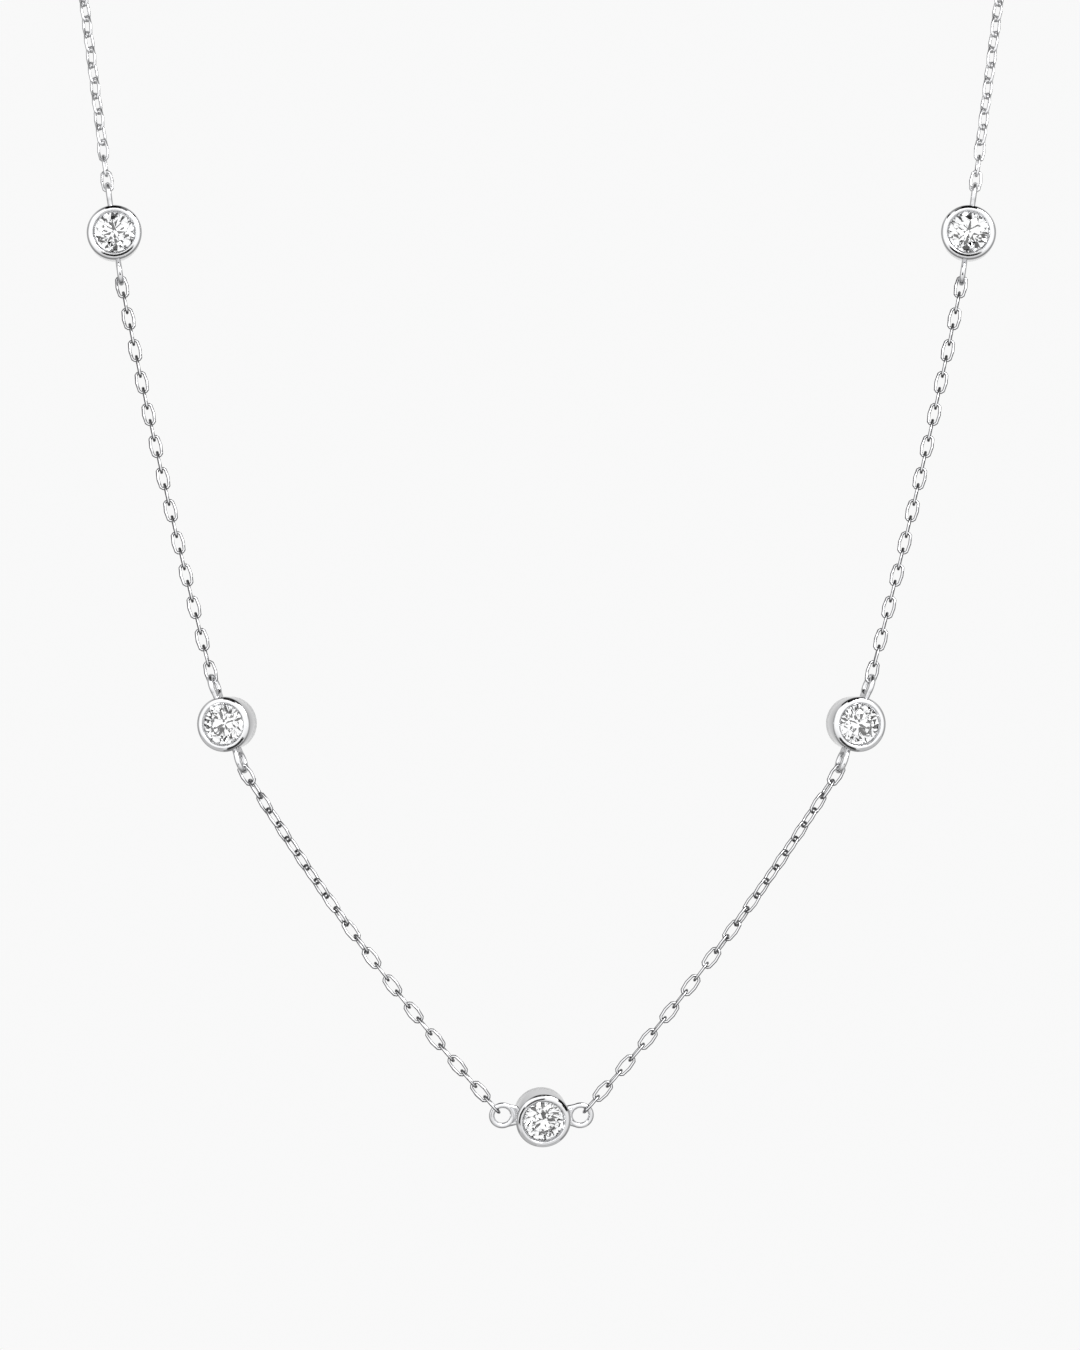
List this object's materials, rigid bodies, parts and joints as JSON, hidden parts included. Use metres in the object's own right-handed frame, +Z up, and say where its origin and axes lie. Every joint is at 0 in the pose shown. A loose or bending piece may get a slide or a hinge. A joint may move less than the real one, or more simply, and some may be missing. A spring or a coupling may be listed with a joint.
{
  "type": "diamond station necklace",
  "caption": "Necklace in its worn form: round diamonds in smooth rubbed-over collars, set along a fine oval-link chain.",
  "frame": {"origin": "middle of the clasp at the nape, where the necklace rests on the back of the neck", "axes": "+Z up as worn, -Y towards the front of the wearer, +X to the right as seen from the front"},
  "size_m": [0.0866, 0.0714, 0.1444],
  "materials": {
    "white_metal": "polished",
    "diamond": "cut and polished"
  },
  "bodies": {
    "root": {"centre_setting": "white_metal", "centre_diamond": "diamond", "left_inner_setting": "white_metal", "left_inner_diamond": "diamond", "right_inner_setting": "white_metal", "right_inner_diamond": "diamond", "left_outer_setting": "white_metal", "left_outer_diamond": "diamond", "right_outer_setting": "white_metal", "right_outer_diamond": "diamond", "left_inner_chain": "white_metal", "right_inner_chain": "white_metal", "left_outer_chain": "white_metal", "right_outer_chain": "white_metal", "left_back_chain": "white_metal", "right_back_chain": "white_metal", "clasp": "white_metal"}
  },
  "joints": []
}
